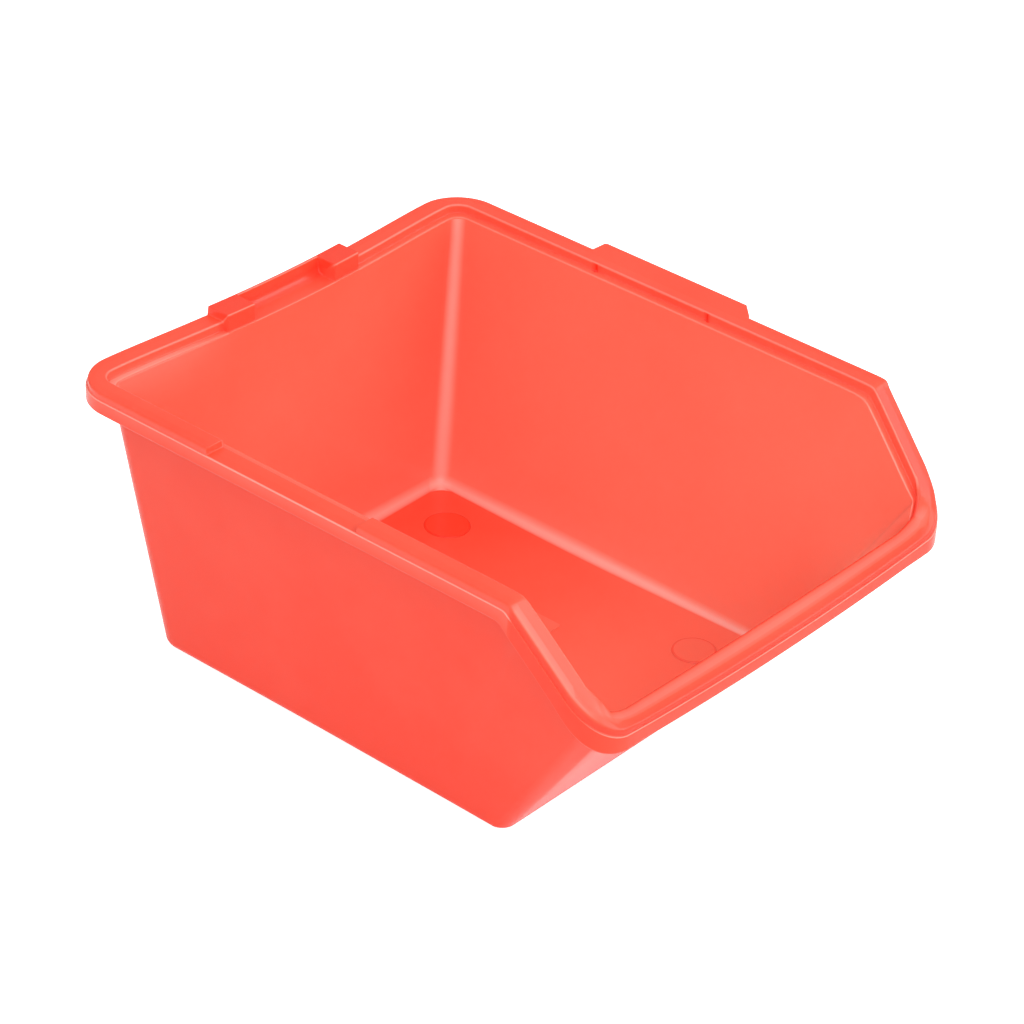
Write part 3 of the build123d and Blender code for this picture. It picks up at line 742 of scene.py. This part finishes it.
def coral_plastic():
    """Semi-translucent coral polypropylene: painted highlights pale it at fillets and edges, painted shade
    deepens it in steps, creases and the cove, painted light through the wall lightens it; satin gloss with
    faint grain.
    """
    material = bpy.data.materials.new("coral_plastic")
    material.use_nodes = True
    nodes, links = material.node_tree.nodes, material.node_tree.links
    shader = nodes["Principled BSDF"]
    grain = nodes.new("ShaderNodeGroup")
    grain.node_tree = grain_group()
    grain.inputs["Fine Scale"].default_value = FINE_SCALE
    grain.inputs["Drift Scale"].default_value = DRIFT_SCALE
    pale, through = nodes.new("ShaderNodeAttribute"), nodes.new("ShaderNodeAttribute")
    pale.attribute_name, through.attribute_name = "pale", "through"
    drifting = nodes.new("ShaderNodeMath")
    drifting.operation = "MULTIPLY_ADD"
    links.new(remap(nodes, links, grain.outputs["Drift"], 0.3, 0.7, -1, 1), drifting.inputs[0])
    drifting.inputs[1].default_value = DRIFT
    links.new(through.outputs["Fac"], drifting.inputs[2])
    # Painted light coming through the wall, with a slow random drift
    colour = mix_colours(nodes, links, drifting.outputs["Value"], CORAL, CORAL_THROUGH)
    # Painted highlights and reflections where pale is above 0, painted shade where it is below 0
    highlight_share = remap(nodes, links, pale.outputs["Fac"], 0, 1, 0, 1)
    colour = mix_colours(nodes, links, highlight_share, colour, CORAL_HIGHLIGHT)
    shade_share = remap(nodes, links, pale.outputs["Fac"], -1, 0, 1, 0)
    colour = mix_colours(nodes, links, shade_share, colour, CORAL_SHADE)
    links.new(colour, shader.inputs["Base Color"])
    links.new(remap(nodes, links, grain.outputs["Scuff"], 0.3, 0.7, 0.20, 0.24), shader.inputs["Roughness"])
    bump = nodes.new("ShaderNodeBump")
    bump.inputs["Strength"].default_value, bump.inputs["Distance"].default_value = 0.04, 0.0001
    links.new(grain.outputs["Height"], bump.inputs["Height"])
    links.new(bump.outputs["Normal"], shader.inputs["Normal"])
    shader.inputs["Subsurface Weight"].default_value = 0.25
    shader.inputs["Subsurface Radius"].default_value = (1.0, 0.4, 0.3)
    shader.inputs["Subsurface Scale"].default_value = 0.0012
    shader.inputs["Specular IOR Level"].default_value = 0.35
    shader.inputs["IOR"].default_value = 1.49
    return material


def floor_white():
    """Matt white studio floor with a barely visible mottle, lit from within so that shadows stay faint."""
    material = bpy.data.materials.new("studio_white")
    material.use_nodes = True
    nodes, links = material.node_tree.nodes, material.node_tree.links
    shader = nodes["Principled BSDF"]
    where, noise = nodes.new("ShaderNodeTexCoord"), nodes.new("ShaderNodeTexNoise")
    noise.inputs["Scale"].default_value = 6
    links.new(where.outputs["Object"], noise.inputs["Vector"])
    tone = mix_colours(nodes, links, noise.outputs["Fac"], grey(0.80), grey(0.84))
    links.new(tone, shader.inputs["Base Color"])
    shader.inputs["Roughness"].default_value = 0.9
    ray = nodes.new("ShaderNodeLightPath")
    mirrored = mix_colours(nodes, links, ray.outputs["Is Glossy Ray"], grey(0.0), grey(MIRRORED_GLOW))
    glow = mix_colours(nodes, links, ray.outputs["Is Camera Ray"], mirrored, grey(FLOOR_GLOW))
    links.new(glow, shader.inputs["Emission Color"])
    shader.inputs["Emission Strength"].default_value = 1.0
    return material


# ---------------------------------------------------------------- studio, in metres
FLOOR_HALF_SPAN, FLOOR_DROP = 3.0, 0.00002
LIGHT_AIM, LIGHT_SIZE = (0, 0, 0.04), 0.7
BRIGHT_SIDE = (-0.55, -0.75, 0.35)   # direction of the bright side of the white room
DIM, BRIGHT = 0.35, 1.25


def studio_floor():
    """A wide white square just below the bin."""
    mesh = bpy.data.meshes.new("studio_floor")
    corners = [(x * FLOOR_HALF_SPAN, y * FLOOR_HALF_SPAN, -FLOOR_DROP)
               for x, y in ((-1, -1), (1, -1), (1, 1), (-1, 1))]
    mesh.from_pydata(corners, [], [(0, 1, 2, 3)])
    mesh.materials.append(floor_white())
    piece = bpy.data.objects.new("studio_floor", mesh)
    bpy.context.scene.collection.objects.link(piece)


def soft_box(name, place, power):
    """A square area light at place, turned to face the bin (metres, watts)."""
    light = bpy.data.lights.new(name, "AREA")
    light.shape, light.size, light.energy = "SQUARE", LIGHT_SIZE, power
    lamp = bpy.data.objects.new(name, light)
    bpy.context.scene.collection.objects.link(lamp)
    lamp.location = place
    lamp.rotation_euler = (Vector(LIGHT_AIM) - Vector(place)).to_track_quat("-Z", "Y").to_euler()


def white_room():
    """A world that grows brighter with the dot product of the direction and the bright side's."""
    world = bpy.data.worlds.new("white_room")
    world.use_nodes = True
    nodes, links = world.node_tree.nodes, world.node_tree.links
    direction, facing = nodes.new("ShaderNodeTexCoord"), nodes.new("ShaderNodeVectorMath")
    facing.operation = "DOT_PRODUCT"
    facing.inputs[1].default_value = BRIGHT_SIDE
    links.new(direction.outputs["Generated"], facing.inputs[0])
    brightness = remap(nodes, links, facing.outputs["Value"], -0.8, 0.8, 0.0, 1.0)
    room = mix_colours(nodes, links, brightness, grey(DIM), grey(BRIGHT))
    links.new(room, nodes["Background"].inputs["Color"])
    bpy.context.scene.world = world


# ---------------------------------------------------------------- camera
AZIMUTH, ELEVATION, ROLL = math.radians(-50.31), math.radians(32.08), math.radians(2.75)
DISTANCE = 0.9373
TARGET = Vector((0.00102, 0.00140, 0.04429))
FOCAL_LENGTH, SENSOR_WIDTH = 135.58, 36.0


def product_camera():
    """A camera on a sphere about the target, turned about its own axis by the roll."""
    toward_camera = Vector((math.sin(AZIMUTH) * math.cos(ELEVATION),
                            -math.cos(AZIMUTH) * math.cos(ELEVATION), math.sin(ELEVATION)))
    level_right = Vector((0, 0, 1)).cross(toward_camera).normalized()
    level_up = toward_camera.cross(level_right)
    rightwards = level_right * math.cos(ROLL) + level_up * math.sin(ROLL)
    upwards = level_up * math.cos(ROLL) - level_right * math.sin(ROLL)
    lens = bpy.data.cameras.new("product_view")
    lens.lens, lens.sensor_width = FOCAL_LENGTH, SENSOR_WIDTH
    lens.dof.use_dof = False
    camera = bpy.data.objects.new("product_view", lens)
    bpy.context.scene.collection.objects.link(camera)
    pose = Matrix((rightwards, upwards, toward_camera)).transposed().to_4x4()
    pose.translation = TARGET + toward_camera * DISTANCE
    camera.matrix_world = pose
    bpy.context.scene.camera = camera
    bpy.context.scene.view_settings.view_transform = "Standard"


# ---------------------------------------------------------------- the scene
PLASTIC = coral_plastic()
bin_moulding(PLASTIC)
floor_marks(PLASTIC)
studio_floor()
white_room()
soft_box("front_right", (0.75, -0.75, 0.7), 3.5)
soft_box("front_left", (-0.7, -0.75, 0.9), 2.5)
product_camera()
